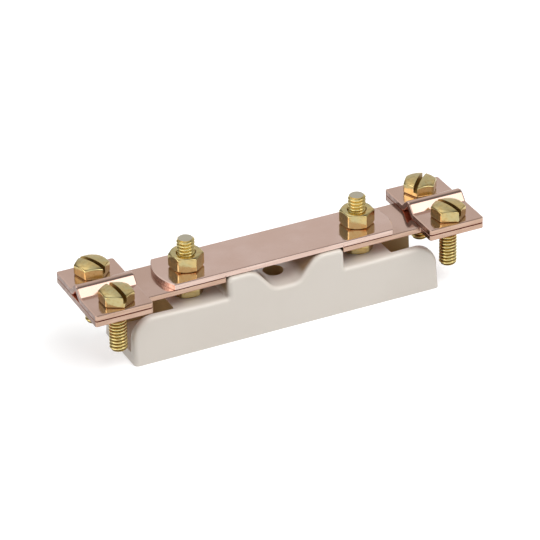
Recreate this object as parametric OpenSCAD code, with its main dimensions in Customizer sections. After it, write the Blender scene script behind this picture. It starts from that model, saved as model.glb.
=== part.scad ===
// Earth test link: a moulded insulating base carries two copper terminal bars on studs.
// A removable copper link bolts across the bars, and a ridged plate clamps the conductor at each end.
// Millimetres. X runs along the link, Z up; the origin is the middle of the base's mounting face.

/* [Overall] */
// Length over the two terminals
overall_len = 150; // [142:1:190]

/* [Copper] */
// Thickness of the copper sheet
sheet_t = 2.2; // [1.5:0.1:4]
// Width of the bars and of the link
strip_w = 20.4; // [18:0.2:24]
// Length of each terminal plate
terminal_len = 21.5; // [18:0.5:26]
// Width of each terminal plate
terminal_w = 34.6; // [33:0.2:44]
// Radius of the terminal plates' corners
corner_r = 0.8; // [0.5:0.1:4]
// Distance from each stud to the terminal plate beside it
stud_setback = 20.25; // [17:0.25:24]
// Distance from each stud to the tip of the link
link_reach = 11.75; // [9:0.25:14]
// Height of the arc that rounds each end of the link
link_crown = 2.8; // [0.5:0.1:6]

/* [Conductor ridge] */
// Rise of the ridge pressed in each clamp plate
ridge_rise = 3.1; // [2:0.1:4.5]
// Slope of the ridge's two sides, in degrees
ridge_slope = 46; // [35:1:55]
// Inside radius of the ridge's bends
bend_r = 0.3; // [0.1:0.1:0.6]

/* [Insulating base] */
// Width of the base at its foot
base_w = 26.9; // [25:0.1:34]
// Height of the floor that carries the seat nuts
seat_z = 16.6; // [14:0.1:24]
// Lean of the front and back faces, in degrees
side_draft = 4.6; // [0:0.2:6]
// Lean of the end faces, in degrees
end_draft = 2; // [0:0.5:6]
// Radius along the moulded edges
edge_r = 0.9; // [0.3:0.1:1.1]
// Distance from each stud to the centre block
block_setback = 10.75; // [8:0.25:14]
// Height of the fixing dip's floor
dip_z = 16; // [12:0.1:19]
// Width of the fixing dip between the feet of its slopes
dip_w = 9.4; // [8:0.1:14]
// Slope of the dip's two sides, in degrees
dip_slope = 49; // [40:1:65]
// Radius where the dip runs into the top of the block
dip_crest_r = 6; // [2:0.5:7]
// Radius at the feet of the dip's slopes
dip_foot_r = 5; // [2:0.5:7]
// Diameter of the fixing hole through the dip
fixing_d = 7.4; // [5:0.1:9]

/* [End pockets] */
// Thickness of the cheeks beside the pockets, at the foot
cheek_t = 3.95; // [3:0.05:5.5]
// Radius of the cheeks' top corners
cheek_r = 10; // [4:0.5:12]
// Height of the cheeks' rims above the seat floor, beside the block
rim_step = 0.1; // [0.1:0.1:1]
// Distance from the block to where the rims start to rise
rim_start = 8.5; // [4:0.5:14]
// Slope of the rims, in degrees
rim_slope = 4.2; // [1:0.2:7]
// Thickness of the floor below the pockets
pocket_floor = 4; // [2:0.2:10]
// Distance from each stud to the pocket beside it
pocket_setback = 9; // [8:0.25:12]
// Radius of the pockets' inner corners
pocket_r = 1.5; // [0.5:0.1:3]

/* [Fasteners] */
// Outside diameter of the threads
thread_d = 6.35; // [5:0.05:7]
// Width across the flats of the heads and nuts
hex_af = 11.1; // [10:0.1:13]
// Height of the nuts
nut_h = 5.7; // [4:0.1:7]
// Height of the screw and stud heads, without the dome
head_h = 4.4; // [3:0.1:6]
// Rise of the dome on the clamp screws' heads
head_crown = 0.7; // [0.3:0.1:1.2]
// Length of the clamp screws below their heads
screw_len = 19; // [12:0.5:26]
// Width of the screwdriver slots
slot_w = 1.6; // [1:0.1:2.2]
// Depth of the screwdriver slots
slot_d = 2.5; // [1.2:0.1:3]
// Length of the studs above the link nuts
stud_out = 5.4; // [2:0.2:12]
// Chamfer at the ends of the threads
tip_c = 0.6; // [0.3:0.1:1.2]
// Depth of the stud heads below the mounting face
head_sink = 1.6; // [0.5:0.1:4]

/* [Clearances] */
// Radial gap between threads that engage
thread_gap = 0.05; // [0.03:0.01:0.1]
// Radial gap round a thread in the copper's plain holes
hole_gap = 0.35; // [0.2:0.05:0.8]
// Radial gap round a stud in the base
stud_gap = 0.15; // [0.1:0.05:0.4]
// Gap round the stud heads in their sockets
socket_gap = 0.2; // [0.1:0.05:0.5]
// Gap between the block and the bars and link beside it
block_gap = 0.2; // [0.1:0.05:0.6]
// Gap between the base's ends and the clamp screws
end_gap = 1.6; // [0.8:0.1:4]
// Gap between the screw heads and the ridge
ridge_gap = 0.05; // [0.05:0.05:1]

/* [Hidden] */

$fn = 64;
ivory = [0.83, 0.80, 0.75];
copper = [0.80, 0.60, 0.52];
brass = [0.76, 0.68, 0.40];

// Sides of the object along X, and rows of screws along Y
LEFT = -1;
RIGHT = 1;
FRONT = -1;
REAR = 1;

// How far a cut runs past the face it opens
over = 2;
// Largest turn of one flat along a drawn arc, in degrees
arc_step = 8;
// Flats across each rounded moulded edge
edge_steps = 4;
// Slope of the chamfer on heads and nuts, in degrees
hex_chamfer = 30;
// Share of the flats' width that the chamfer leaves as a round top
hex_top = 0.94;

// Levels, from the mounting face up
bar_z = seat_z + nut_h;
link_z = bar_z + sheet_t;
top_z = link_z + sheet_t;
block_z = link_z - block_gap;
rim_z = seat_z + rim_step;
socket_z = head_sink + head_h;
stud_top = top_z + nut_h + stud_out;

// Places along X, from the middle out
plate_out = overall_len / 2;
plate_in = plate_out - terminal_len;
screw_x = (plate_in + plate_out) / 2;
stud_x = plate_in - stud_setback;
link_tip = stud_x + link_reach;
block_x = stud_x - block_setback;
bar_in = block_x + block_gap;
pocket_x = stud_x + pocket_setback;
base_x = screw_x - thread_d / 2 - end_gap;

// Radii of the hexagons and holes
hex_r = hex_af / 2 / cos(30);
hex_top_r = hex_af / 2 * hex_top;
socket_r = hex_r + socket_gap / cos(30);
clear_r = thread_d / 2 + hole_gap;
tapped_r = thread_d / 2 + thread_gap;

// The ridge's section, drawn along the middle of the sheet
ridge_r = bend_r + sheet_t / 2;
ridge_peak = ridge_rise + ridge_r * (1 / cos(ridge_slope) - 1);
ridge_half = ridge_peak / tan(ridge_slope);
ridge_foot = ridge_half + (sheet_t / 2 + bend_r) * tan(ridge_slope / 2);
screw_y = ridge_foot + hex_r + ridge_gap;

// The base's outline: its right half from the foot to the dip, each corner as x, z and radius
root_r = 0.8;
block_r = edge_r + 0.3;
rim_x = block_x + rim_start;
cheek_top_z = rim_z + (base_x - rim_x) * tan(rim_slope);
dip_top_x = dip_w / 2 + (block_z - dip_z) / tan(dip_slope);
half_outline = [
    [base_x, 0, 0],
    [base_x - cheek_top_z * tan(end_draft), cheek_top_z, cheek_r],
    [rim_x, rim_z, cheek_r],
    [block_x, rim_z, root_r],
    [block_x, block_z, block_r],
    [dip_top_x, block_z, dip_crest_r],
    [dip_w / 2, dip_z, dip_foot_r]
];
outline = rounded(concat(half_outline, mirrored(half_outline)));
pocket_half = base_w / 2 - cheek_t;
channel_x = block_x + root_r;

// Plan of a terminal plate on the right, and of the ridge across it
plate_plan = rounded([
    [plate_in, -terminal_w / 2, corner_r],
    [plate_out, -terminal_w / 2, corner_r],
    [plate_out, terminal_w / 2, corner_r],
    [plate_in, terminal_w / 2, corner_r]
]);
ridge_line = rounded([
    [-terminal_w / 2 - over, sheet_t / 2, 0],
    [-ridge_half, sheet_t / 2, ridge_r],
    [0, sheet_t / 2 + ridge_peak, ridge_r],
    [ridge_half, sheet_t / 2, ridge_r],
    [terminal_w / 2 + over, sheet_t / 2, 0]
]);

// Helpers for outlines
function flat(p) = [p[0], p[1]];
function unit(v) = v / norm(v);
function turned(v, a) = [v.x * cos(a) - v.y * sin(a), v.x * sin(a) + v.y * cos(a)];
function backwards(list) = [for (i = [len(list) - 1 : -1 : 0]) list[i]];
function mirrored(corners) = [for (c = backwards(corners)) [-c[0], c[1], c[2]]];

// Points round one corner: the corner itself, or an arc of its radius between the two sides
function corner_arc(c, before, after) =
    let (
        a = unit(flat(before) - flat(c)),
        b = unit(flat(after) - flat(c)),
        half = acos(a * b) / 2,
        inward = unit(a + b),
        centre = flat(c) + inward * c[2] / sin(half),
        turn = (180 - 2 * half) * (cross(a, b) < 0 ? 1 : -1),
        steps = ceil(abs(turn) / arc_step)
    )
    [for (k = [0 : steps]) centre - turned(inward, turn * (k / steps - 0.5)) * c[2]];

// An outline with each corner [x, y, radius] rounded; a radius of 0 keeps the corner
function rounded(corners) = [
    for (i = [0 : len(corners) - 1])
        let (
            n = len(corners),
            c = corners[i]
        )
        each c[2] == 0 ? [flat(c)] : corner_arc(c, corners[(i + n - 1) % n], corners[(i + 1) % n])
];

// A line moved sideways by d, to the right of the way it runs
function right_of(p, q) = unit([q.y - p.y, p.x - q.x]);
function beside(line, d) = [
    for (i = [0 : len(line) - 1])
        let (
            last = len(line) - 1,
            a = right_of(line[max(i, 1) - 1], line[max(i, 1)]),
            b = right_of(line[min(i, last - 1)], line[min(i, last - 1) + 1])
        )
        line[i] + d * (a + b) / (1 + a * b)
];

// One ring of the base at step k of its rounded edge, on the front or the back
function base_ring(k, row) =
    let (
        a = 90 * k / edge_steps,
        drawn_in = edge_r * (1 - sin(a)),
        set_back = edge_r * (1 - cos(a))
    )
    [
        for (p = beside(outline, -drawn_in))
            let (z = max(p.y, 0))
            [p.x, row * (base_w / 2 - z * tan(side_draft) - set_back), z]
    ];

// Triangles that fill an outline standing on its foot, cut off one outward bend at a time.
// The outline never turns back along X, so each such triangle lies inside it.
function filled(line, ids) =
    let (
        bends = [
            for (k = [1 : 1 : len(ids) - 2])
                if (cross(line[ids[k]] - line[ids[k - 1]], line[ids[k + 1]] - line[ids[k]]) > 0) k
        ],
        k = bends[0],
        rest = [for (j = [0 : len(ids) - 1]) if (j != k) ids[j]]
    )
    len(ids) < 3 ? [] : concat([[ids[k - 1], ids[k], ids[k + 1]]], filled(line, rest));

// Skin through the base's rings, closed by a flat face at the front and the back
module loft(rings) {
    n = len(rings[0]);
    points = [for (ring = rings) each ring];
    sides = [
        for (j = [0 : len(rings) - 2], i = [0 : n - 1])
            let (
                a = j * n + i,
                b = j * n + (i + 1) % n
            )
            each [[a, b, b + n], [a, b + n, a + n]]
    ];
    face = filled([for (p = rings[0]) [p.x, p.z]], [for (i = [0 : n - 1]) i]);
    front = [for (t = face) backwards(t)];
    back = [for (t = face) [for (i = t) i + len(points) - n]];
    polyhedron(points, concat(front, sides, back));
}

// Piece of one side: drawn on the right, mirrored for the left
module on_side(side) {
    mirror([side == LEFT ? 1 : 0, 0, 0])
        children();
}

// Space between the cheeks, from x outwards and from z up
module bay(x, z) {
    out = base_x + over;
    translate([0, 0, z])
        linear_extrude(block_z)
            polygon(rounded([
                [x, -pocket_half, pocket_r],
                [out, -pocket_half, 0],
                [out, pocket_half, 0],
                [x, pocket_half, pocket_r]
            ]));
}

// Hexagonal prism of height h, one flat facing the angle turn, with a chamfer that starts at the height rim
module hexagon(h, rim, turn) {
    wide_r = hex_r + over;
    drop = (wide_r - hex_top_r) * tan(hex_chamfer);
    rise = hex_top_r * tan(hex_chamfer);
    intersection() {
        rotate(turn + 30)
            cylinder(r = hex_r, h = h, $fn = 6);
        translate([0, 0, -over])
            rotate_extrude()
                polygon([[0, 0], [wide_r, 0], [wide_r, rim + over - drop], [0, rim + over + rise]]);
    }
}

// Hexagon with a chamfered flat top
module flat_hexagon(h, turn) {
    hexagon(h, h, turn);
}

// Hexagon whose top is part of a ball that runs through the chamfer's rim
module domed_hexagon(turn) {
    ball_r = (hex_top_r * hex_top_r + head_crown * head_crown) / 2 / head_crown;
    intersection() {
        hexagon(head_h + head_crown, head_h, turn);
        translate([0, 0, head_h + head_crown - ball_r])
            sphere(r = ball_r);
    }
}

// Round bar from z 0 up to h, chamfered at its top
module shank(h) {
    r = thread_d / 2;
    rotate_extrude()
        polygon([[0, 0], [r, 0], [r, h - tip_c], [r - tip_c, h], [0, h]]);
}

module nut(side, z, turn) {
    color(brass)
        translate([side * stud_x, 0, z])
            difference() {
                intersection() {
                    flat_hexagon(nut_h, turn);
                    translate([0, 0, nut_h])
                        mirror([0, 0, 1])
                            flat_hexagon(nut_h, turn);
                }
                translate([0, 0, -over])
                    cylinder(r = tapped_r, h = nut_h + 2 * over);
            }
}

module stud(side) {
    color(brass)
        translate([side * stud_x, 0, head_sink])
            union() {
                translate([0, 0, head_h])
                    mirror([0, 0, 1])
                        flat_hexagon(head_h, 0);
                shank(stud_top - head_sink);
            }
}

module clamp_screw(side, row, flat_turn, slot_turn) {
    color(brass)
        translate([side * screw_x, row * screw_y, top_z])
            difference() {
                union() {
                    domed_hexagon(flat_turn);
                    mirror([0, 0, 1])
                        shank(screw_len);
                }
                translate([0, 0, head_h - slot_d])
                    rotate(slot_turn)
                        translate([-hex_r - over, -slot_w / 2, 0])
                            cube([2 * (hex_r + over), slot_w, slot_d + over]);
            }
}

module terminal_bar(side) {
    color(copper)
        on_side(side)
            translate([0, 0, bar_z])
                linear_extrude(sheet_t)
                    difference() {
                        union() {
                            translate([bar_in, -strip_w / 2])
                                square([screw_x - bar_in, strip_w]);
                            polygon(plate_plan);
                        }
                        translate([stud_x, 0])
                            circle(r = clear_r);
                        for (row = [FRONT, REAR])
                            translate([screw_x, row * screw_y])
                                circle(r = tapped_r);
                    }
}

module clamp_plate(side) {
    section = concat(beside(ridge_line, -sheet_t / 2), backwards(beside(ridge_line, sheet_t / 2)));
    color(copper)
        on_side(side)
            translate([0, 0, link_z])
                difference() {
                    intersection() {
                        translate([plate_in - over, 0, 0])
                            rotate([90, 0, 90])
                                linear_extrude(terminal_len + 2 * over)
                                    polygon(section);
                        translate([0, 0, -over])
                            linear_extrude(ridge_rise + sheet_t + 2 * over)
                                polygon(plate_plan);
                    }
                    for (row = [FRONT, REAR])
                        translate([screw_x, row * screw_y, -over])
                            cylinder(r = clear_r, h = sheet_t + 2 * over);
                }
}

module base() {
    rings = concat(
        [for (k = [0 : edge_steps]) base_ring(k, FRONT)],
        [for (k = [edge_steps : -1 : 0]) base_ring(k, REAR)]
    );
    color(ivory)
        difference() {
            loft(rings);
            for (side = [LEFT, RIGHT])
                on_side(side) {
                    bay(channel_x, seat_z);
                    bay(pocket_x, pocket_floor);
                    translate([stud_x, 0, -over])
                        cylinder(r = thread_d / 2 + stud_gap, h = seat_z + 2 * over);
                    translate([stud_x, 0, -over])
                        rotate(30)
                            cylinder(r = socket_r, h = socket_z + over, $fn = 6);
                }
            translate([0, 0, -over])
                cylinder(d = fixing_d, h = block_z + 2 * over);
        }
}

module link_bar() {
    half_w = strip_w / 2;
    end_r = (half_w * half_w + link_crown * link_crown) / 2 / link_crown;
    end_x = link_tip - end_r;
    color(copper)
        translate([0, 0, link_z])
            linear_extrude(sheet_t)
                difference() {
                    intersection() {
                        square([2 * link_tip + over, strip_w], center = true);
                        union() {
                            square([2 * end_x, 2 * end_r], center = true);
                            for (side = [LEFT, RIGHT])
                                translate([side * end_x, 0])
                                    circle(r = end_r);
                        }
                    }
                    for (side = [LEFT, RIGHT])
                        translate([side * stud_x, 0])
                            circle(r = clear_r);
                }
}

module left_bar() { terminal_bar(LEFT); }
module right_bar() { terminal_bar(RIGHT); }
module left_clamp_plate() { clamp_plate(LEFT); }
module right_clamp_plate() { clamp_plate(RIGHT); }
module left_front_screw() { clamp_screw(LEFT, FRONT, flat_turn = -119, slot_turn = -84); }
module left_rear_screw() { clamp_screw(LEFT, REAR, flat_turn = -104, slot_turn = -67); }
module right_front_screw() { clamp_screw(RIGHT, FRONT, flat_turn = -112, slot_turn = -74); }
module right_rear_screw() { clamp_screw(RIGHT, REAR, flat_turn = -98, slot_turn = 46); }
module left_stud() { stud(LEFT); }
module right_stud() { stud(RIGHT); }
module left_seat_nut() { nut(LEFT, seat_z, turn = -100); }
module right_seat_nut() { nut(RIGHT, seat_z, turn = -105); }
module left_link_nut() { nut(LEFT, top_z, turn = -110); }
module right_link_nut() { nut(RIGHT, top_z, turn = -115); }

base();
left_bar();
right_bar();
link_bar();
left_clamp_plate();
right_clamp_plate();
left_front_screw();
left_rear_screw();
right_front_screw();
right_rear_screw();
left_stud();
right_stud();
left_seat_nut();
right_seat_nut();
left_link_nut();
right_link_nut();
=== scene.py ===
# %% [markdown]
# # An earth test link
# This link joins two earth conductors so that they can be parted for a test: the copper link comes off its
# two studs, and each side can be measured alone. One ivory moulding carries five pieces of copper strip and
# ten brass fasteners. The solids of all sixteen pieces are loaded first, because they hold the true sizes
# and places. Each piece is then made again, with the soft edges, threads and finishes that a camera sees,
# in the place of its solid.

# %% Load the solids
import math

import bmesh
import bpy
from mathutils import Matrix, Vector


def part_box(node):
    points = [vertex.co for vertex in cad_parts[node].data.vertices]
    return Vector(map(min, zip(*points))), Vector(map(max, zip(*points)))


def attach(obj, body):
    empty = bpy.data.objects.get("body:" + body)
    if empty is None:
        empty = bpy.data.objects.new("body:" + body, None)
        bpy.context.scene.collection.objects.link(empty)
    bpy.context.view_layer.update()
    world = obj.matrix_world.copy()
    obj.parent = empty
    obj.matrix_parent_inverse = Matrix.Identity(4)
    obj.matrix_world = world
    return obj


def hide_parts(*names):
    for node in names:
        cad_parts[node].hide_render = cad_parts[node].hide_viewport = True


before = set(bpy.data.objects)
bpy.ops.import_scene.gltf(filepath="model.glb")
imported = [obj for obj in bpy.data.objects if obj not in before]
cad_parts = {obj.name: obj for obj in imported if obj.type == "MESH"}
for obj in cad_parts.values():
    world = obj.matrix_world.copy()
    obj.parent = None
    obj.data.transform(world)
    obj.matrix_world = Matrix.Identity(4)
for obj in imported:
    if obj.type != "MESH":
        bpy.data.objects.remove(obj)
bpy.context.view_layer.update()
MM = 0.001


def box_mm(node):
    """Lowest and highest corner of a solid, in millimetres."""
    low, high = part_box(node)
    return low / MM, high / MM


# %% [markdown]
# ## The camera
# The picture is a product shot: a long lens, far away, about 30 degrees above the table and 25 degrees to
# the left of the front. A lens this long keeps parallel edges nearly parallel. The camera is built from
# three directions, the way it looks, its right and its up, because that leaves no doubt about its roll.

# %% Place the camera
picture_px = 540
sensor_mm = 36.0
focal_px = 3338.0
azimuth = math.radians(-25.32)
elevation = math.radians(30.04)
roll = math.radians(-1.085)
eye_distance = 1184.0 * MM
eye_right = -1.285 * MM
eye_up = 13.91 * MM

look = Vector((
    -math.sin(azimuth) * math.cos(elevation),
    math.cos(azimuth) * math.cos(elevation),
    -math.sin(elevation),
))
level = Vector((math.cos(azimuth), math.sin(azimuth), 0.0))
upright = level.cross(look)
right = level * math.cos(roll) + upright * math.sin(roll)
up = upright * math.cos(roll) - level * math.sin(roll)

lens = bpy.data.cameras.new("camera")
lens.sensor_width = sensor_mm
lens.lens = focal_px * sensor_mm / picture_px
camera = bpy.data.objects.new("camera", lens)
camera.matrix_world = (
    Matrix.Translation(right * eye_right + up * eye_up - look * eye_distance)
    @ Matrix((right, up, -look)).transposed().to_4x4()
)
bpy.context.scene.collection.objects.link(camera)
bpy.context.scene.camera = camera
print("lens in mm:", round(lens.lens, 1), "eye at:", [round(x, 3) for x in camera.location])

# %% [markdown]
# ## Floor and light
# Polished metal has little colour of its own: it shows the room. So the room matters as much as the
# finish. Here it is a dim room with a white table, a pale backdrop and ceiling, a window on the left, and
# lights at the front and on the right. Upright faces mirror the table, the flat tops of the copper mirror
# the backdrop, and what mirrors the dim gaps in between turns dark, which gives the metal its contrast.
# The table's paper glows for the camera, so that the background is white, and less in a mirror image. That
# glow puts no light on matt surfaces, and the paper keeps the object's shadow.

# %% Lay the floor
floor_half = 6.0
floor_drop = 0.05 * MM
paper_grey = 0.60
paper_rough = 0.9
paper_glow = 0.50
mirrored_share = 0.45
WHITE = (1.0, 1.0, 1.0, 1.0)


def new_material(name):
    """A node material, with its node tree and its main shader."""
    made = bpy.data.materials.new(name)
    made.use_nodes = True
    tree = made.node_tree
    return made, tree, tree.nodes["Principled BSDF"]


def link_mesh(bm, name, finishes=()):
    """Turn a bmesh into an object in the scene, in the bmesh's own units, with these materials."""
    mesh = bpy.data.meshes.new(name)
    bm.to_mesh(mesh)
    bm.free()
    for finish in finishes:
        mesh.materials.append(finish)
    made = bpy.data.objects.new(name, mesh)
    bpy.context.scene.collection.objects.link(made)
    return made


def add_node(tree, kind, **settings):
    """A new node with some of its settings given by name."""
    node = tree.nodes.new(kind)
    for name, value in settings.items():
        setattr(node, name, value)
    return node


def math_node(tree, operation, first, second):
    """One sum of two values; either may be a socket or a number."""
    node = add_node(tree, "ShaderNodeMath", operation=operation)
    for socket, value in zip(node.inputs, (first, second)):
        if isinstance(value, (int, float)):
            socket.default_value = value
        else:
            tree.links.new(value, socket)
    return node.outputs["Value"]


def seen_ray(tree, mirrored_as=1.0):
    """1 for rays from the camera, mirrored_as for rays of a mirror image, 0 for rays that only light."""
    rays = add_node(tree, "ShaderNodeLightPath").outputs
    mirrored = math_node(tree, "ADD", rays["Is Glossy Ray"], rays["Is Transmission Ray"])
    mirrored = math_node(tree, "MULTIPLY", mirrored, mirrored_as)
    return math_node(tree, "ADD", mirrored, rays["Is Camera Ray"])


paper, paper_tree, paper_shader = new_material("white_paper")
paper_shader.inputs["Base Color"].default_value = (paper_grey, paper_grey, paper_grey, 1.0)
paper_shader.inputs["Roughness"].default_value = paper_rough
paper_shader.inputs["Specular IOR Level"].default_value = 0.0
paper_shader.inputs["Emission Color"].default_value = WHITE
glow = math_node(paper_tree, "MULTIPLY", seen_ray(paper_tree, mirrored_share), paper_glow)
paper_tree.links.new(glow, paper_shader.inputs["Emission Strength"])

floor_bm = bmesh.new()
bmesh.ops.create_grid(floor_bm, x_segments=1, y_segments=1, size=floor_half)
bmesh.ops.translate(floor_bm, vec=(0.0, 0.0, -floor_drop), verts=floor_bm.verts)
floor = link_mesh(floor_bm, "floor", [paper])
print("floor:", 2 * floor_half, "m wide")

# %% [markdown]
# The world shader makes the room. Its Generated coordinate is the direction that a ray leaves in, so the
# dot product with a fixed direction tells how far the ray is from that direction, and a smooth ramp of it
# is a soft round patch of light. Each patch is given by its direction, its inner and outer angle in degrees
# and its strength. The patches are cards for the metal to mirror: they light matt surfaces at half strength
# only, so that the soft box stays the main light on the ivory and models its edges.

# %% Light the room
bpy.context.scene.view_settings.view_transform = "Standard"
room_light = 0.20
matt_share = 0.5
patches = {
    "backdrop": ((0.48, 0.72, 0.44), 14, 44, 0.47),
    "back_left": ((-0.80, 0.34, 0.50), 6, 18, 1.10),
    "back_high": ((-0.20, 0.60, 0.77), 8, 28, 0.50),
    "ceiling": ((-0.05, 0.30, 0.95), 8, 26, 0.50),
    "window": ((-0.86, -0.10, 0.50), 14, 30, 1.80),
    "front": ((-0.40, -0.76, 0.51), 20, 48, 0.75),
    "right": ((0.87, -0.04, 0.50), 8, 32, 0.20),
    "right_window": ((0.62, -0.61, 0.50), 6, 18, 1.30),
    "soft_box": ((0.37, -0.56, 0.74), 11, 19, 1.85),
}

world = bpy.data.worlds.new("room")
world.use_nodes = True
bpy.context.scene.world = world
sky = world.node_tree


def ramp(tree, source, low, high, start=0.0, end=1.0):
    """Map a value that runs from low to high onto start to end, smoothly at both ends."""
    node = add_node(tree, "ShaderNodeMapRange", interpolation_type="SMOOTHSTEP")
    for name, value in zip(("From Min", "From Max", "To Min", "To Max"), (low, high, start, end)):
        node.inputs[name].default_value = value
    tree.links.new(source, node.inputs["Value"])
    return node.outputs["Result"]


ray = add_node(sky, "ShaderNodeTexCoord").outputs["Generated"]
light = 0.0
for towards, inner, outer, strength in patches.values():
    nearness = add_node(sky, "ShaderNodeVectorMath", operation="DOT_PRODUCT")
    nearness.inputs[1].default_value = Vector(towards).normalized()
    sky.links.new(ray, nearness.inputs[0])
    limits = [math.cos(math.radians(angle)) for angle in (outer, inner)]
    light = math_node(sky, "ADD", ramp(sky, nearness.outputs["Value"], *limits, end=strength), light)
light = math_node(sky, "MULTIPLY", light, ramp(sky, seen_ray(sky), 0.0, 1.0, start=matt_share))
light = math_node(sky, "ADD", light, room_light)
sky.links.new(light, sky.nodes["Background"].inputs["Strength"])
sky.nodes["Background"].inputs["Color"].default_value = WHITE
print("patches of light:", ", ".join(patches))

# %% [markdown]
# One soft box high on the front right is the main light. A weaker one behind the object keeps its back from
# going grey. Both are large and far away, which lights the whole table evenly. They are hidden from glossy
# rays, because metal already mirrors the patches above: the front slopes of the two ridges look at the
# patch of the soft box, so they flash white.

# %% Set up the soft boxes
lamp_away = 2.6
lamp_size = (3.0, 1.6)
lamps = {"soft_box": ((0.32, -0.38, 0.87), 62.0), "back_fill": ((-0.25, 0.80, 0.55), 26.0)}
for name, (towards, power) in lamps.items():
    lamp_data = bpy.data.lights.new(name, "AREA")
    lamp_data.shape = "RECTANGLE"
    lamp_data.size, lamp_data.size_y = lamp_size
    lamp_data.energy = power
    lamp = bpy.data.objects.new(name, lamp_data)
    lamp.location = Vector(towards).normalized() * lamp_away
    lamp.visible_glossy = False
    lamp.rotation_euler = (-lamp.location).to_track_quat("-Z", "Y").to_euler()
    bpy.context.scene.collection.objects.link(lamp)
    print(name + ":", power, "W at", [round(x, 2) for x in lamp.location])

# %% [markdown]
# ## Measures
# The solids give every place: where the strips lie, how far the studs stand apart, how tall the nuts are.
# Only sizes inside an outline, such as a radius or a slope, are written down again here. All modelling is
# done in millimetres, because bevels and cuts are exact to about a thousandth of a unit, and the finished
# mesh is scaled to metres.

# %% Read the places
SIDES = {"left": -1, "right": 1}
ROWS = {"front": -1, "rear": 1}

link_low, link_high = box_mm("link_bar")
bar_low, bar_high = box_mm("right_bar")
plate_low, plate_high = box_mm("right_clamp_plate")
stud_low, stud_high = box_mm("right_stud")
seat_z = box_mm("right_seat_nut")[0].z
base_high = box_mm("base")[1]

sheet_t = link_high.z - link_low.z
strip_half = link_high.y
plate_half = plate_high.y
stud_x = (stud_low.x + stud_high.x) / 2
print("sheet", round(sheet_t, 2), "mm, studs at", round(stud_x, 2), "mm from the middle")

# %% [markdown]
# ## Tools of the bench
# A few small tools serve all the pieces. One draws a flat outline with each corner rounded by its true
# radius, and one pushes it to a solid. One softens sharp edges, since no real edge is perfectly sharp and a
# soft edge catches a line of light. One adds or takes away another shape. The last one scales the mesh to
# metres, smooths it and puts it in the place of its solid.

# %% Draw an outline and thicken it
corner_steps = 10


def round_corner(bm, corner, radius, steps):
    """Round one corner of a flat outline, so that an arc of that radius meets both sides."""
    sides = [(edge.other_vert(corner).co - corner.co).normalized() for edge in corner.link_edges]
    turn = math.pi - sides[0].angle(sides[1])
    bmesh.ops.bevel(
        bm, geom=[corner], offset=radius * math.tan(turn / 2), offset_type="OFFSET", segments=steps,
        profile=0.5, affect="VERTICES", material=-1, clamp_overlap=False,
    )


def outline_face(bm, corners, place):
    """A flat face through corners of (across, along, radius), set in space by place(across, along)."""
    verts = [bm.verts.new(place(across, along)) for across, along, _ in corners]
    bm.faces.new(verts)
    for vert, (_, _, radius) in zip(verts, corners):
        if radius > 0:
            round_corner(bm, vert, radius, corner_steps)


def verts_of(made):
    """The vertices among what an operator made."""
    return [item for item in made["geom"] if isinstance(item, bmesh.types.BMVert)]


def thicken(bm, vec):
    """Push the only face of a bmesh along vec, and close it to a solid."""
    made = bmesh.ops.extrude_face_region(bm, geom=bm.faces[:], use_keep_orig=True)
    bmesh.ops.translate(bm, vec=vec, verts=verts_of(made))
    bmesh.ops.recalc_face_normals(bm, faces=bm.faces[:])


print("bench: outlines with", corner_steps, "steps to a corner")

# %% Soften, join and cut
drill_sides = 48


def soften(bm, edges, width, steps):
    """Round these edges by a narrow arc."""
    bmesh.ops.bevel(
        bm, geom=edges, offset=width, offset_type="OFFSET", segments=steps, profile=0.5,
        affect="EDGES", material=-1, clamp_overlap=False, loop_slide=False,
    )


def sharp_edges(bm, least_deg):
    """Edges where two faces meet at more than this angle."""
    least = math.radians(least_deg)
    return [e for e in bm.edges if len(e.link_faces) == 2 and e.calc_face_angle(0.0) > least]


def settle(piece):
    """Make the result of a piece's modifiers its own mesh."""
    graph = bpy.context.evaluated_depsgraph_get()
    mesh = bpy.data.meshes.new_from_object(piece.evaluated_get(graph))
    piece.modifiers.clear()
    piece.data = mesh


def combine(piece, tool_bm, operation):
    """Unite a piece with another shape, or cut that shape out of it."""
    bmesh.ops.recalc_face_normals(tool_bm, faces=tool_bm.faces[:])
    tool = link_mesh(tool_bm, "tool")
    modifier = piece.modifiers.new("combine", "BOOLEAN")
    modifier.operation = operation
    modifier.solver = "EXACT"
    modifier.object = tool
    settle(piece)
    bpy.data.objects.remove(tool, do_unlink=True)


def add_drill(bm, x, y, radius, low, high, sides=drill_sides):
    """A closed upright cylinder from low to high, to drill with."""
    bmesh.ops.create_cone(
        bm, cap_ends=True, segments=sides, radius1=radius, radius2=radius, depth=high - low,
        matrix=Matrix.Translation((x, y, (low + high) / 2)),
    )


print("bench: edges, cuts and drills with", drill_sides, "sides")

# %% Finish a piece
smooth_below_deg = 32


def finish_piece(piece, node):
    """Scale a piece to metres, smooth it and put it in place of its solid."""
    piece.data.transform(Matrix.Scale(MM, 4))
    piece.data.shade_smooth()
    piece.data.set_sharp_from_angle(angle=math.radians(smooth_below_deg))
    even = piece.modifiers.new("even_shading", "WEIGHTED_NORMAL")
    even.keep_sharp = True
    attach(piece, "root")
    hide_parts(node)
    print("made", piece.name, "with", len(piece.data.polygons), "faces")


print("bench: faces are smooth across edges below", smooth_below_deg, "degrees")

# %% [markdown]
# ## Nodes for the finishes
# Every finish is a small tree of nodes on Object coordinates, so that its pattern has a true size and stays
# on the piece. The same few steps come again and again: a noise, a tint between two shades, a bump of a
# given depth, and the parts of a vector, which tell where a point lies or which way it faces.


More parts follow.
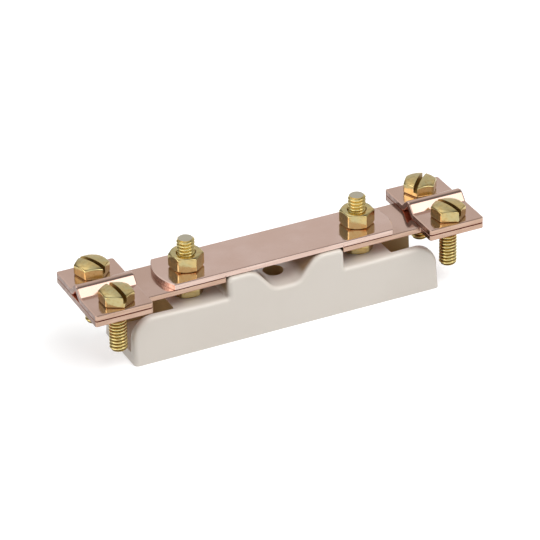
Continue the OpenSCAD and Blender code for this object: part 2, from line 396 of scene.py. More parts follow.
# %% Make the nodes
def noise(tree, coords, scale, detail, stretch=(1.0, 1.0, 1.0)):
    """A noise on coords, with a scale in turns per metre and a stretch for each axis."""
    mapping = add_node(tree, "ShaderNodeMapping")
    mapping.inputs["Scale"].default_value = stretch
    tree.links.new(coords, mapping.inputs["Vector"])
    node = add_node(tree, "ShaderNodeTexNoise")
    node.inputs["Scale"].default_value = scale
    node.inputs["Detail"].default_value = detail
    tree.links.new(mapping.outputs["Vector"], node.inputs["Vector"])
    return node.outputs["Fac"]


def tint(tree, factor, first, second):
    """A colour between first and second; either may be a socket or a plain colour."""
    node = add_node(tree, "ShaderNodeMix", data_type="RGBA")
    tree.links.new(factor, node.inputs["Factor"])
    for socket, value in zip((s for s in node.inputs if s.type == "RGBA"), (first, second)):
        if isinstance(value, tuple):
            socket.default_value = (*value, 1.0)
        else:
            tree.links.new(value, socket)
    return next(socket for socket in node.outputs if socket.type == "RGBA")


def bump(tree, height, depth, before=None):
    """A bump whose height of 0 to 1 stands for depth metres."""
    node = add_node(tree, "ShaderNodeBump")
    node.inputs["Strength"].default_value = 1.0
    node.inputs["Distance"].default_value = depth
    tree.links.new(height, node.inputs["Height"])
    if before is not None:
        tree.links.new(before, node.inputs["Normal"])
    return node.outputs["Normal"]


def split(tree, vector):
    """The X, Y and Z of a vector."""
    node = add_node(tree, "ShaderNodeSeparateXYZ")
    tree.links.new(vector, node.inputs["Vector"])
    return node.outputs


def unsigned(tree, value):
    """A value without its sign."""
    return math_node(tree, "ABSOLUTE", value, 0.0)


print("nodes: noise, tint, bump, split and unsigned")

# %% [markdown]
# ## Ivory moulding compound
# The base is pressed from a pale thermosetting compound. It is satin under a smooth skin, a little lighter
# where the mould was polished, and has a very fine grain. A slow noise shifts the tint by a few parts in a
# hundred, a fine one makes the grain, and the shader's coat is the skin. The walls inside the pockets,
# channels and bores are painted brown for the shade that falls in them and have no skin, so the same recipe
# is mixed twice. The upper walls of the block below the copper get a painted brown shadow of the link as
# well. Painting that would need a texture, so three ramps along the axes mask it.

# %% Mix the ivory
ivory_shades = [(0.668, 0.612, 0.546), (0.682, 0.628, 0.563)]
# Brown painted shade for the inner walls of the pockets, channels and bores.
painted_wall_shades = [(0.460, 0.320, 0.135), (0.510, 0.360, 0.165)]
# Painted shadow of the link on the block's upper walls, and the ramps that place it.
painted_link_shadow = (0.290, 0.190, 0.095)
shadow_along = (23.0 * MM, 25.0 * MM)
shadow_across = (8.6 * MM, 11.2 * MM)
shadow_up = (16.6 * MM, 19.6 * MM)
cloud_scale = 45.0
cloud_span = (0.3, 0.7)
grain_scale = 1600.0
grain_depth = 0.012 * MM
ivory_rough = (0.46, 0.38)
skin_weight = 0.8
skin_rough = 0.20


def shaded_below_copper(tree, coords):
    """1 on the upper walls of the block that the copper covers and shades, where the painted shadow goes,
    and 0 on what lies open.
    """
    x, y, z = split(tree, coords)
    along = ramp(tree, unsigned(tree, x), *shadow_along, start=1.0, end=0.0)
    across = ramp(tree, unsigned(tree, y), *shadow_across, start=1.0, end=0.0)
    covered = math_node(tree, "MULTIPLY", across, along)
    return math_node(tree, "MULTIPLY", ramp(tree, z, *shadow_up), covered)


def ivory_compound(name, shades, skin):
    """Satin moulding compound between two shades, with a skin of some weight and a painted shadow below the
    copper.
    """
    made, tree, shader = new_material(name)
    coords = add_node(tree, "ShaderNodeTexCoord").outputs["Object"]
    cloud = ramp(tree, noise(tree, coords, cloud_scale, detail=3.0), *cloud_span)
    grain = noise(tree, coords, grain_scale, detail=2.0)
    # The colour takes the painted shadow of the link where the copper covers the block.
    colour = tint(tree, shaded_below_copper(tree, coords), tint(tree, cloud, *shades), painted_link_shadow)
    tree.links.new(colour, shader.inputs["Base Color"])
    tree.links.new(ramp(tree, cloud, 0.0, 1.0, *ivory_rough), shader.inputs["Roughness"])
    tree.links.new(bump(tree, grain, grain_depth), shader.inputs["Normal"])
    shader.inputs["Coat Weight"].default_value = skin
    shader.inputs["Coat Roughness"].default_value = skin_rough
    return made


ivory = ivory_compound("ivory_compound", ivory_shades, skin_weight)
shaded_wall_ivory = ivory_compound("shaded_wall_ivory", painted_wall_shades, 0.0)
print("finishes:", ivory.name, shaded_wall_ivory.name)

# %% [markdown]
# ## The base
# The base is one moulding: a long drafted body, a centre block with a curved dip for the fixing screw, and
# a pair of cheeks at each end with a pocket between them. It could be built from boxes, but its front
# outline is the whole character of the piece. So the outline is drawn once, with its true radii, pushed
# through the width, leaned in as a mould needs it, and rounded along both outlines.

# %% Draw the base's outline
side_lean = math.radians(4.6)
end_lean = math.radians(2.0)
rim_rise = math.radians(1.2)
dip_slope = math.radians(49)
edge_r = 1.7
block_r = 2.0
block_foot_r = 0.8
cheek_r = 8.0
dip_lip_r = 6.0
dip_root_r = 5.0
dip_half = 4.7
dip_z = 16.0
stud_to_block = 10.75
block_to_rim = 8.5
rim_over_seat = 0.1
touching = 0.01

block_x = stud_x - stud_to_block
rim_x = block_x + block_to_rim
rim_z = seat_z + rim_over_seat
cheek_z = rim_z + (base_high.x - rim_x) * math.tan(rim_rise)
dip_top_x = dip_half + (base_high.z - dip_z) / math.tan(dip_slope)
half_outline = [
    (base_high.x, 0.0, 0.0),
    (base_high.x - cheek_z * math.tan(end_lean), cheek_z, cheek_r),
    (rim_x, rim_z, cheek_r),
    (block_x, rim_z, block_foot_r),
    (block_x, base_high.z, block_r),
    (dip_top_x, base_high.z, dip_lip_r),
    (dip_half, dip_z, dip_root_r),
]
outline = half_outline + [(-x, z, r) for x, z, r in reversed(half_outline)]

base_bm = bmesh.new()
outline_face(base_bm, outline, lambda x, z: (x, -base_high.y, z))
thicken(base_bm, (0.0, 2 * base_high.y, 0.0))
for vert in base_bm.verts:
    vert.co.y *= 1.0 - vert.co.z * math.tan(side_lean) / base_high.y
rims = [
    e for e in base_bm.edges
    if e.verts[0].co.y * e.verts[1].co.y > 0 and max(v.co.z for v in e.verts) > touching
]
soften(base_bm, rims, edge_r, steps=5)
base = link_mesh(base_bm, "ivory_base", [ivory, shaded_wall_ivory])
print("outline corners:", len(outline), "softened edges:", len(rims))

# %% [markdown]
# Between the cheeks the mould leaves a channel for the seat nuts and a deep pocket at each end, and from
# below come the sockets that keep the stud heads from turning. Cutting them out is closest to what the
# mould's own cores do. Cutters that overlap each other are used in separate passes.

# %% Cut the channels and holes
cheek_wall = 3.95
stud_to_pocket = 9.0
pocket_z = 4.0
pocket_r = 1.5
fixing_r = 3.7
stud_hole_r = 3.325
socket_r = 6.64
socket_h = 4.4
past = 2.0
upright_below = 0.5
# Material number of the brown painted shade on the walls that the cutters leave.
SHADED_WALL = 1

pocket_half = base_high.y - cheek_wall
pocket_x = stud_x + stud_to_pocket
channel_x = block_x + block_foot_r
socket_z = stud_low.z + socket_h


def mark_walls(bm):
    """Give the upright faces of a cutter the finish of painted wall shade, which the walls that it cuts then
    take.
    """
    for face in bm.faces:
        if abs(face.normal.z) < upright_below:
            face.material_index = SHADED_WALL


def bay(x, z, side):
    """The space between two cheeks, from x outwards and from z up."""
    bm = bmesh.new()
    out = base_high.x + past
    corners = [
        (x, -pocket_half, pocket_r), (out, -pocket_half, 0.0),
        (out, pocket_half, 0.0), (x, pocket_half, pocket_r),
    ]
    outline_face(bm, corners, lambda across, along: (side * across, along, z))
    thicken(bm, (0.0, 0.0, base_high.z))
    mark_walls(bm)
    return bm


for side in SIDES.values():
    combine(base, bay(channel_x, seat_z, side), "DIFFERENCE")
    combine(base, bay(pocket_x, pocket_z, side), "DIFFERENCE")

bores = bmesh.new()
add_drill(bores, 0.0, 0.0, fixing_r, -past, base_high.z)
for side in SIDES.values():
    add_drill(bores, side * stud_x, 0.0, stud_hole_r, -past, base_high.z)
mark_walls(bores)
combine(base, bores, "DIFFERENCE")

sockets = bmesh.new()
for side in SIDES.values():
    add_drill(sockets, side * stud_x, 0.0, socket_r, -past, socket_z, sides=6)
combine(base, sockets, "DIFFERENCE")
finish_piece(base, "base")

# %% [markdown]
# ## Bright copper
# The strips are drawn copper: pink, nearly a mirror on the flats, with very fine lines along their length
# and soft smudges. Their edges were drawn through the die too, but are duller and show longer streaks, the
# ends are darker and gritty, and the undersides are painted a dull brown for shade, redder in the grooves
# along the middle. One recipe serves all of them: the direction of the surface says which it is. The link
# has brighter shades than the bars and plates, because it was dressed after the cut.

# %% Roll the copper
bar_shades = {
    "flat": ((0.700, 0.478, 0.382), (0.750, 0.528, 0.438)),
    "edge": ((0.610, 0.400, 0.295), (0.730, 0.505, 0.385)),
    "end": ((0.286, 0.187, 0.154), (0.418, 0.297, 0.253)),
}
link_shades = {
    "flat": ((0.800, 0.565, 0.470), (0.845, 0.620, 0.535)),
    "edge": ((0.800, 0.580, 0.490), (0.930, 0.710, 0.620)),
    "end": ((0.520, 0.340, 0.280), (0.760, 0.540, 0.460)),
}
# Painted shade for the undersides: dark brown at the sides, redder in the groove along the middle.
painted_underside_shades = ((0.360, 0.135, 0.090), (0.700, 0.260, 0.160))
under_metal = 0.35
edge_facing = (0.25, 0.5)
under_facing = (-0.3, -0.08)
end_facing = (0.8, 0.95)
groove_half = 4.6 * MM
groove_side = (0.9 * groove_half, 1.1 * groove_half)
line_stretch = (50.0, 2600.0, 2600.0)
line_depth = 0.0010 * MM
streak_stretch = (150.0, 150.0, 2400.0)
streak_depth = 0.02 * MM
speck_span = (0.32, 0.70)
smudge_scale = 70.0
smudge_span = (0.35, 0.7)
grit_scale = 900.0
grit_span = (0.4, 0.65)
flat_rough = (0.17, 0.10)
edge_rougher = 0.14


def drawn_copper(name, shades):
    """Bright drawn copper with duller edges, darker gritty ends and painted shade on the underside."""
    made, tree, shader = new_material(name)
    place = add_node(tree, "ShaderNodeTexCoord")
    coords = place.outputs["Object"]
    facing_x, _, facing_z = split(tree, place.outputs["Normal"])
    edge = ramp(tree, unsigned(tree, facing_z), *edge_facing, start=1.0, end=0.0)
    below = ramp(tree, facing_z, *under_facing, start=1.0, end=0.0)
    end = ramp(tree, unsigned(tree, facing_x), *end_facing)
    off_middle = unsigned(tree, split(tree, coords)["Y"])
    groove = ramp(tree, off_middle, *groove_side, start=1.0, end=0.0)

    smudge = ramp(tree, noise(tree, coords, smudge_scale, detail=4.0), *smudge_span)
    lines = noise(tree, coords, 1.0, detail=2.0, stretch=line_stretch)
    streaks = noise(tree, coords, 1.0, detail=3.0, stretch=streak_stretch)
    specks = ramp(tree, streaks, *speck_span)
    grit = ramp(tree, noise(tree, coords, grit_scale, detail=3.0), *grit_span)

    colour = tint(tree, end, tint(tree, specks, *shades["edge"]), tint(tree, grit, *shades["end"]))
    colour = tint(tree, edge, tint(tree, smudge, *shades["flat"]), colour)
    # Faces that look down take the painted underside shade.
    colour = tint(tree, below, colour, tint(tree, groove, *painted_underside_shades))
    tree.links.new(colour, shader.inputs["Base Color"])
    tree.links.new(ramp(tree, below, 0.0, 1.0, 1.0, under_metal), shader.inputs["Metallic"])
    duller = math_node(tree, "MULTIPLY", edge, edge_rougher)
    rough = math_node(tree, "ADD", ramp(tree, smudge, 0.0, 1.0, *flat_rough), duller)
    tree.links.new(rough, shader.inputs["Roughness"])
    drawn = bump(tree, lines, line_depth)
    streaked = bump(tree, math_node(tree, "MULTIPLY", streaks, edge), streak_depth, before=drawn)
    tree.links.new(streaked, shader.inputs["Normal"])
    return made


copper = drawn_copper("drawn_copper", bar_shades)
link_copper = drawn_copper("link_copper", link_shades)
print("finishes:", copper.name, link_copper.name)

# %% [markdown]
# ## The terminal bars
# Each bar is a flat T cut from the strip: the narrow leg butts against the block, the wide head is the
# terminal. Its outline is drawn with rounded corners and pushed to the thickness of the sheet. Drawn strip
# rolls off a little towards its edges. This roll is a narrow band that leans outwards, so it mirrors
# another part of the room than the flat does and draws a line along every edge. It is made by an inset of
# the top whose outer rim is then pressed down. The lower edges get a small round. The holes are drilled
# last.

# %% Cut the bars
corner_r = 0.8
leg_r = 0.3
hole_r = 3.525
tapped_r = 3.225
roll_w = 0.6
roll_d = 0.3
under_r = 0.25
under_edge_deg = 60
facing_up = 0.3
screw_low, screw_high = box_mm("right_front_screw")
screw_x = (screw_low.x + screw_high.x) / 2
screw_y = -(screw_low.y + screw_high.y) / 2


def roll_edges(bm, lower_r):
    """Press down the rim of all faces that look up, and round the sharp lower edges."""
    top = {face for face in bm.faces if face.normal.z > facing_up}
    band = set(bmesh.ops.inset_region(
        bm, faces=list(top), thickness=roll_w, depth=0.0, use_even_offset=True, use_boundary=True,
    )["faces"])
    rim = {
        vert: sum((face.normal for face in vert.link_faces if face in band), Vector()).normalized()
        for face in band for vert in face.verts
        if any(beside not in band and beside not in top for beside in vert.link_faces)
    }
    for vert, normal in rim.items():
        vert.co -= normal * roll_d
    bm.normal_update()
    sharp = sharp_edges(bm, under_edge_deg)
    under = [e for e in sharp if any(face.normal.z < -facing_up for face in e.link_faces)]
    soften(bm, under, lower_r, steps=3)


def drilled(piece, holes, low, high):
    """Drill upright holes, each given as x, y and radius."""
    bm = bmesh.new()
    for x, y, radius in holes:
        add_drill(bm, x, y, radius, low, high)
    combine(piece, bm, "DIFFERENCE")


tee = [
    (bar_low.x, -strip_half, leg_r), (plate_low.x, -strip_half, leg_r),
    (plate_low.x, -plate_half, corner_r), (plate_high.x, -plate_half, corner_r),
    (plate_high.x, plate_half, corner_r), (plate_low.x, plate_half, corner_r),
    (plate_low.x, strip_half, leg_r), (bar_low.x, strip_half, leg_r),
]
for name, side in SIDES.items():
    bar_bm = bmesh.new()
    outline_face(bar_bm, tee, lambda x, y: (side * x, y, bar_low.z))
    thicken(bar_bm, (0.0, 0.0, sheet_t))
    roll_edges(bar_bm, under_r)
    bar = link_mesh(bar_bm, name + "_copper_bar", [copper])
    holes = [(side * stud_x, 0.0, hole_r)]
    holes += [(side * screw_x, row * screw_y, tapped_r) for row in ROWS.values()]
    drilled(bar, holes, bar_low.z - past, bar_high.z + past)
    finish_piece(bar, name + "_bar")

# %% [markdown]
# ## The link
# The link is a straight length of the same strip with its ends cut to a shallow arc. The arc is swept by
# a spin: one corner vertex is turned about the arc's centre until it reaches the other corner.

# %% Cut the link
end_crown = 2.8
end_r = (strip_half ** 2 + end_crown ** 2) / (2 * end_crown)
end_turn = 2 * math.asin(strip_half / end_r)
arc_steps = 20
link_under_r = 0.1

link_bm = bmesh.new()
for side in SIDES.values():
    centre = Vector((side * (link_high.x - end_r), 0.0, link_low.z))
    corner = link_bm.verts.new((side * (link_high.x - end_crown), -side * strip_half, link_low.z))
    bmesh.ops.spin(
        link_bm, geom=[corner], cent=centre, axis=(0.0, 0.0, 1.0), angle=end_turn, steps=arc_steps,
        use_merge=False, use_duplicate=False,
    )
loose = [v for v in link_bm.verts if len(v.link_edges) == 1]
for row in ROWS.values():
    link_bm.edges.new([v for v in loose if v.co.y * row > 0])
bmesh.ops.contextual_create(link_bm, geom=link_bm.edges[:])
thicken(link_bm, (0.0, 0.0, sheet_t))
roll_edges(link_bm, link_under_r)
link = link_mesh(link_bm, "copper_link", [link_copper])
holes = [(side * stud_x, 0.0, hole_r) for side in SIDES.values()]
drilled(link, holes, link_low.z - past, link_high.z + past)
finish_piece(link, "link_bar")

# %% [markdown]
# ## The ridged plates
# A clamp plate is a flat blank with a ridge pressed into it, which makes the groove for the conductor.
# The sheet's middle layer is drawn as a bent line of four flats, pushed along the link, and its three bends
# are rounded. Solidify then gives it the thickness on both sides, so the bends keep an even wall.

# %% Press the plates
ridge_slope = math.radians(46)
inner_bend_r = 0.3
bend_steps = 12
plate_corner_steps = 8
bend_r = inner_bend_r + sheet_t / 2
ridge_rise = plate_high.z - plate_low.z - sheet_t
peak = ridge_rise + bend_r * (1 / math.cos(ridge_slope) - 1)
ridge_half = peak / math.tan(ridge_slope)
middle_z = plate_low.z + sheet_t / 2
bend_line = [(-plate_half, 0.0), (-ridge_half, 0.0), (0.0, peak), (ridge_half, 0.0), (plate_half, 0.0)]
bend_turns = {-ridge_half: ridge_slope, 0.0: 2 * ridge_slope, ridge_half: ridge_slope}


def pressed_sheet(side):
    """The middle layer of one clamp plate, bent and with its corners rounded."""
    bm = bmesh.new()
    verts = [bm.verts.new((side * plate_low.x, y, middle_z + z)) for y, z in bend_line]
    line = [bm.edges.new(pair) for pair in zip(verts, verts[1:])]
    made = bmesh.ops.extrude_edge_only(bm, edges=line)
    along = (side * (plate_high.x - plate_low.x), 0.0, 0.0)
    bmesh.ops.translate(bm, vec=along, verts=verts_of(made))
    for corner in [v for v in bm.verts if abs(v.co.y) > plate_half - touching]:
        round_corner(bm, corner, corner_r, plate_corner_steps)
    for y, turn in bend_turns.items():
        bend = [e for e in bm.edges if all(abs(v.co.y - y) < touching for v in e.verts)]
        soften(bm, bend, bend_r * math.tan(turn / 2), bend_steps)
    bmesh.ops.recalc_face_normals(bm, faces=bm.faces[:])
    return bm


for name, side in SIDES.items():
    plate = link_mesh(pressed_sheet(side), name + "_ridge_plate", [copper])
    wall = plate.modifiers.new("wall", "SOLIDIFY")
    wall.thickness = sheet_t
    wall.offset = 0.0
    wall.use_even_offset = True
    settle(plate)
    plate_bm = bmesh.new()
    plate_bm.from_mesh(plate.data)
    bmesh.ops.recalc_face_normals(plate_bm, faces=plate_bm.faces[:])
    roll_edges(plate_bm, under_r)
    plate_bm.to_mesh(plate.data)
    plate_bm.free()
    holes = [(side * screw_x, row * screw_y, hole_r) for row in ROWS.values()]
    drilled(plate, holes, plate_low.z - past, plate_low.z + sheet_t + past)
    finish_piece(plate, name + "_clamp_plate")

# %% [markdown]
# ## Threads
# A thread is one small profile that climbs as it turns. That is just what a spin with a step along its
# axis does: the edges of one pitch are spun round and round, each turn meets the one below, and the seam
# is merged. The crest is rounded, because a bright thread shows as light bands with dark gaps. The ends are
# cut flat with a plane and filled, and the top one is narrowed to a cone as a die leaves it.

# %% Cut a thread
crest_r = 3.175
pitch = 1.27
thread_depth = 0.61 * pitch
root_r = crest_r - thread_depth
tip_chamfer = 0.6
thread_steps = 32
start_below = 1.5
spare_turns = 2
weld = 0.001
thread_profile = [
    (root_r, 0.00), (root_r, 0.05), (crest_r - 0.11, 0.31), (crest_r - 0.04, 0.38), (crest_r, 0.45),
    (crest_r, 0.55), (crest_r - 0.04, 0.62), (crest_r - 0.11, 0.69), (root_r, 0.95), (root_r, 1.00),
]
THREAD, SAWN, CUT = 1, 2, 3


def fill_ends(bm):
    """Close every open loop with a face, and give these faces."""
    rims = [e for e in bm.edges if e.is_boundary]
    return bmesh.ops.holes_fill(bm, edges=rims, sides=0)["faces"]


def slice_at(bm, z, way, clear):
    """Cut a shape at a height; clear drops what lies beyond, on the side that way points to."""
    bmesh.ops.bisect_plane(
        bm, geom=bm.verts[:] + bm.edges[:] + bm.faces[:], plane_co=(0.0, 0.0, z),
        plane_no=(0.0, 0.0, way), clear_outer=clear,
    )


def threaded_rod(length):
    """A right-hand threaded rod up from z 0, with a narrowed end at the top."""
    bm = bmesh.new()
    turns = math.ceil(length / pitch) + spare_turns
    verts = [bm.verts.new((r, 0.0, (share - start_below) * pitch)) for r, share in thread_profile]
    edges = [bm.edges.new(pair) for pair in zip(verts, verts[1:])]
    bmesh.ops.spin(
        bm, geom=verts + edges, cent=(0.0, 0.0, 0.0), axis=(0.0, 0.0, 1.0),
        dvec=(0.0, 0.0, pitch / thread_steps), angle=2 * math.pi * turns, steps=thread_steps * turns,
        use_merge=False, use_duplicate=False,
    )
    bmesh.ops.remove_doubles(bm, verts=bm.verts[:], dist=weld)
    slice_at(bm, 0.0, -1.0, clear=True)
    slice_at(bm, length, 1.0, clear=True)
    slice_at(bm, length - tip_chamfer, 1.0, clear=False)
    slice_at(bm, length - tip_chamfer / 2, 1.0, clear=False)
    for vert in bm.verts:
        limit = crest_r - tip_chamfer + length - vert.co.z
        reach = vert.co.xy.length
        if reach > limit:
            vert.co.xy *= limit / reach
    for face in bm.faces:
        face.material_index = THREAD
    for cap in fill_ends(bm):
        cap.material_index = CUT
    bmesh.ops.recalc_face_normals(bm, faces=bm.faces[:])
    return bm


print("thread:", 2 * crest_r, "mm by", pitch, "mm")

# %% [markdown]
# ## Hexagons
# A hexagonal head is a bar whose end was faced and chamfered in the lathe, so a 30 degree cone meets six
# flats in curved scallops. It is grown ring by ring from a circle: each ring is extruded from the last and
# moved onto the hexagon, the cone or the round top. The chamfer's height follows from the distance to the
# axis, and the scallops come by themselves.

# %% Grow a hexagon
half_flats = 5.55
top_r = 0.94 * half_flats
chamfer = math.tan(math.radians(30))
ring_steps = 72
top_rings = 6
hex_edge = 0.36
hex_edge_deg = 22
foot = 0.35


def hex_reach(angle):
    """Distance from the axis to the hexagon's side at an angle; one flat faces angle 0."""
    return half_flats / math.cos((angle + math.pi / 6) % (math.pi / 3) - math.pi / 6)


def cone_drop(angle):
    """How far below the top the cone meets the side at an angle."""
    return (hex_reach(angle) - top_r) * chamfer


def round_at(radius):
    """The same distance at every angle."""
    return lambda angle: radius


def grow(bm, rings):
    """Rings of (reach, height), both given by angle, each one extruded from the ring before it."""
    edges = []
    for reach, height in rings:
        if edges:
            made = bmesh.ops.extrude_edge_only(bm, edges=edges)
            verts = verts_of(made)
            edges = [
                item for item in made["geom"]
                if isinstance(item, bmesh.types.BMEdge) and all(v in verts for v in item.verts)
            ]
        else:
            verts = bmesh.ops.create_circle(bm, segments=ring_steps, radius=1.0)["verts"]
            edges = bm.edges[:]
        for vert in verts:
            angle = math.atan2(vert.co.y, vert.co.x)
            vert.co = (reach(angle) * math.cos(angle), reach(angle) * math.sin(angle), height(angle))


def turn_about(bm, turn):
    """Turn a shape about the upright axis, by an angle in degrees."""
    matrix = Matrix.Rotation(math.radians(turn), 3, "Z")
    bmesh.ops.rotate(bm, cent=(0.0, 0.0, 0.0), matrix=matrix, verts=bm.verts)


def hex_head(height, crown, turn):
    """A closed hexagonal head up from z 0, chamfered and domed by crown, one flat facing turn."""
    bm = bmesh.new()
    rings = [
        (lambda angle: hex_reach(angle) - foot, round_at(0.0)),
        (hex_reach, round_at(foot)),
        (hex_reach, lambda angle: height - cone_drop(angle)),
    ]
    for step in range(top_rings):
        share = 1.0 - step / top_rings
        rings.append((round_at(share * top_r), round_at(height + crown * (1.0 - share ** 2))))
    grow(bm, rings)
    fill_ends(bm)
    bmesh.ops.recalc_face_normals(bm, faces=bm.faces[:])
    soften(bm, sharp_edges(bm, hex_edge_deg), hex_edge, steps=3)
    turn_about(bm, turn)
    return bm


print("hexagon:", 2 * half_flats, "mm across the flats")

# %% [markdown]
# ## Turned brass
# The fasteners are turned from hexagonal brass bar: bright, between gold and olive, with fine lathe rings
# on the ends and lines along the flats from drawing. The rings need the axis of each fastener, so each gets
# its own copy of the finish, with a Mapping node that moves the pattern to that axis. The distance from the
# axis also finds the roots of a thread, which are painted brown for the grease that stays there and for the
# shade that falls in them.

# %% Turn the brass
body_shades = [(0.745, 0.555, 0.235), (0.615, 0.525, 0.265)]
thread_shades = [(0.910, 0.710, 0.280), (0.850, 0.710, 0.310)]
tarnish_shade = (0.560, 0.370, 0.125)
tarnish_share = 0.6
# Painted root colours for the dirt and the shade in a thread's roots: darker on the clamp screws, lighter on
# the studs.
screw_root_dirt_and_shade = (0.200, 0.120, 0.030)
stud_root_dirt_and_shade = (0.760, 0.600, 0.240)
root_rougher = 0.2
root_span = (root_r * MM, (crest_r - 0.12) * MM)
brass_rough = (0.14, 0.26)
patch_scale = 190.0
patch_span = (0.36, 0.64)
tarnish_scale = 900.0
tarnish_span = (0.45, 0.75)
ring_pitch = 0.22 * MM
ring_depth = 0.0010 * MM
drawing_stretch = (2200.0, 2200.0, 120.0)
drawing_depth = 0.004 * MM


def turned_brass(name, x, y, root_shade=None):
    """Bright brass with lathe rings about the axis at x and y in mm; root_shade is for a thread's roots."""
    made, tree, shader = new_material(name)
    place = add_node(tree, "ShaderNodeTexCoord")
    axis = add_node(tree, "ShaderNodeMapping")
    axis.inputs["Location"].default_value = (-x * MM, -y * MM, 0.0)
    tree.links.new(place.outputs["Object"], axis.inputs["Vector"])
    coords = axis.outputs["Vector"]
    parts = split(tree, coords)
    squares = [math_node(tree, "MULTIPLY", parts[k], parts[k]) for k in ("X", "Y")]
    radius = math_node(tree, "SQRT", math_node(tree, "ADD", *squares), 0.0)
    rings = math_node(tree, "SINE", math_node(tree, "MULTIPLY", radius, 2 * math.pi / ring_pitch), 0.0)

    patch = ramp(tree, noise(tree, place.outputs["Object"], patch_scale, detail=3.0), *patch_span)
    tarnish = ramp(tree, noise(tree, coords, tarnish_scale, detail=4.0), *tarnish_span)
    drawing = noise(tree, coords, 1.0, detail=2.0, stretch=drawing_stretch)
    colour = tint(tree, patch, *(thread_shades if root_shade else body_shades))
    colour = tint(tree, math_node(tree, "MULTIPLY", tarnish, tarnish_share), colour, tarnish_shade)
    rough = ramp(tree, tarnish, 0.0, 1.0, *brass_rough)
    if root_shade:
        # The roots are painted for their dirt and their shade.
        root_dirt_and_shade = ramp(tree, radius, *root_span, start=1.0, end=0.0)
        colour = tint(tree, root_dirt_and_shade, colour, root_shade)
        rough = math_node(tree, "ADD", rough, math_node(tree, "MULTIPLY", root_dirt_and_shade, root_rougher))
    tree.links.new(colour, shader.inputs["Base Color"])
    tree.links.new(rough, shader.inputs["Roughness"])
    shader.inputs["Metallic"].default_value = 1.0
    lathe = bump(tree, rings, ring_depth)
    tree.links.new(bump(tree, drawing, drawing_depth, before=lathe), shader.inputs["Normal"])
    return made


print("finish: turned brass, rings every", ring_pitch / MM, "mm")

# %% [markdown]
# The slot is dull and a darker brown, and the cut end of a threaded rod is paler than the rest. Both are one
# recipe in two shades: a fine noise that shifts the tint and raises the saw marks. It needs no axis, so all
# the fasteners share it.

# %% Saw and cut the brass
sawn_shades = [(0.400, 0.270, 0.085), (0.540, 0.380, 0.130)]
sawn_rough = 0.45
cut_shades = [(0.560, 0.510, 0.385), (0.700, 0.645, 0.500)]
cut_rough = 0.30
mark_scale = 2600.0
mark_depth = 0.02 * MM


def sawn_brass(name, shades, rough):
    """Dull brass with saw marks that drift between two shades."""
    made, tree, shader = new_material(name)
    coords = add_node(tree, "ShaderNodeTexCoord").outputs["Object"]
    marks = noise(tree, coords, mark_scale, detail=3.0)
    tree.links.new(tint(tree, marks, *shades), shader.inputs["Base Color"])
    shader.inputs["Metallic"].default_value = 1.0
    shader.inputs["Roughness"].default_value = rough
    tree.links.new(bump(tree, marks, mark_depth), shader.inputs["Normal"])
    return made


sawn = sawn_brass("sawn_brass", sawn_shades, sawn_rough)
cut = sawn_brass("cut_brass", cut_shades, cut_rough)


def brass_finishes(name, x, y, root_shade):
    """The finishes of one fastener: the body first, then in the order of THREAD, SAWN and CUT."""
    return [turned_brass(name + "_brass", x, y), turned_brass(name + "_thread", x, y, root_shade), sawn, cut]


print("finishes:", sawn.name, cut.name)

# %% [markdown]
# ## Clamp screws
# Four slotted screws press the ridged plates onto the bars. Each is a domed head, a threaded rod that hangs
# below it, and a sawn slot. No two are turned alike, since each was tightened by hand. The rod reaches a
# little into the head so that the two unite cleanly. A Boolean keeps the material number of each face, so
# the thread and the slot keep their own finish.

# %% Make the screws
overlap = 0.4
slot_w = 1.6
slot_d = 2.5
head_crown = 0.7
head_h = screw_high.z - head_crown - plate_low.z - sheet_t
screw_turns = {
    "left_front": (-119, -84),
    "left_rear": (-104, -67),
    "right_front": (-112, -74),
    "right_rear": (-98, 46),
}


def turn_over(bm):
    """Turn a shape upside down."""
    upside_down = Matrix.Rotation(math.pi, 3, "X")
    bmesh.ops.rotate(bm, cent=(0.0, 0.0, 0.0), matrix=upside_down, verts=bm.verts)


for name, (flat_turn, slot_turn) in screw_turns.items():
    low, high = box_mm(name + "_screw")
    under = high.z - head_crown - head_h
    x, y = (low.x + high.x) / 2, (low.y + high.y) / 2
    finishes = brass_finishes(name, x, y, screw_root_dirt_and_shade)
    screw = link_mesh(hex_head(head_h, head_crown, flat_turn), name + "_clamp_screw", finishes)
    rod = threaded_rod(under - low.z + overlap)
    turn_over(rod)
    bmesh.ops.translate(rod, vec=(0.0, 0.0, overlap), verts=rod.verts)
    combine(screw, rod, "UNION")
    saw = bmesh.new()
    bmesh.ops.create_cube(saw, size=1.0)
    bmesh.ops.scale(saw, vec=(4 * half_flats, slot_w, 2 * slot_d), verts=saw.verts)
    turn_about(saw, slot_turn)
    bmesh.ops.translate(saw, vec=(0.0, 0.0, head_h), verts=saw.verts)
    for face in saw.faces:
        face.material_index = SAWN
    combine(screw, saw, "DIFFERENCE")
    screw.data.transform(Matrix.Translation((x, y, under)))
    finish_piece(screw, name + "_screw")
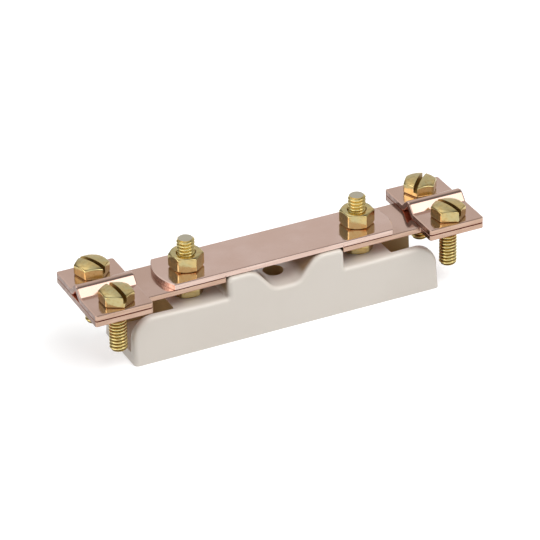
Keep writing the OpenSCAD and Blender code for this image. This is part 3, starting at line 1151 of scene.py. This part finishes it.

# %% [markdown]
# ## Studs
# A stud is a hexagon-head screw that comes up from below; its head sits in a socket of the base. It is made
# as a clamp screw is, but with its head below, flat and with no slot. The roots of its thread are painted
# lighter than a clamp screw's, because nuts run on it and keep it clean, and because more light falls on it.

# %% Make the studs
for name, side in SIDES.items():
    low, high = box_mm(name + "_stud")
    x = side * stud_x
    head_bm = hex_head(head_h, 0.0, 0.0)
    turn_over(head_bm)
    finishes = brass_finishes(name + "_stud", x, 0.0, stud_root_dirt_and_shade)
    stud = link_mesh(head_bm, name + "_threaded_stud", finishes)
    rod = threaded_rod(high.z - low.z - head_h + overlap)
    bmesh.ops.translate(rod, vec=(0.0, 0.0, -overlap), verts=rod.verts)
    combine(stud, rod, "UNION")
    stud.data.transform(Matrix.Translation((x, 0.0, low.z + head_h)))
    finish_piece(stud, name + "_stud")

# %% [markdown]
# ## Nuts
# On each stud one nut holds the base and carries the bar, and a second nut clamps the link. A nut is grown
# as one closed ring: out from the bore, up the outside, over the top and down the bore again. The bore is
# plain, because the stud fills it.

# %% Make the nuts
mouth_r = crest_r + 0.35
mouth_d = 0.5
nut_turns = {"left_seat": -100, "right_seat": -105, "left_link": -110, "right_link": -115}

for name, turn in nut_turns.items():
    low, high = box_mm(name + "_nut")
    tall = high.z - low.z
    x = (low.x + high.x) / 2
    nut_bm = bmesh.new()
    grow(nut_bm, [
        (round_at(tapped_r), round_at(mouth_d)),
        (round_at(mouth_r), round_at(0.0)),
        (round_at(top_r), round_at(0.0)),
        (hex_reach, cone_drop),
        (hex_reach, lambda angle: tall - cone_drop(angle)),
        (round_at(top_r), round_at(tall)),
        (round_at(mouth_r), round_at(tall)),
        (round_at(tapped_r), round_at(tall - mouth_d)),
        (round_at(tapped_r), round_at(mouth_d)),
    ])
    bmesh.ops.remove_doubles(nut_bm, verts=nut_bm.verts[:], dist=weld)
    bmesh.ops.recalc_face_normals(nut_bm, faces=nut_bm.faces[:])
    soften(nut_bm, sharp_edges(nut_bm, hex_edge_deg), hex_edge, steps=3)
    turn_about(nut_bm, turn)
    bmesh.ops.translate(nut_bm, vec=(x, 0.0, low.z), verts=nut_bm.verts)
    nut = link_mesh(nut_bm, name + "_hex_nut", [turned_brass(name + "_nut_brass", x, 0.0)])
    finish_piece(nut, name + "_nut")
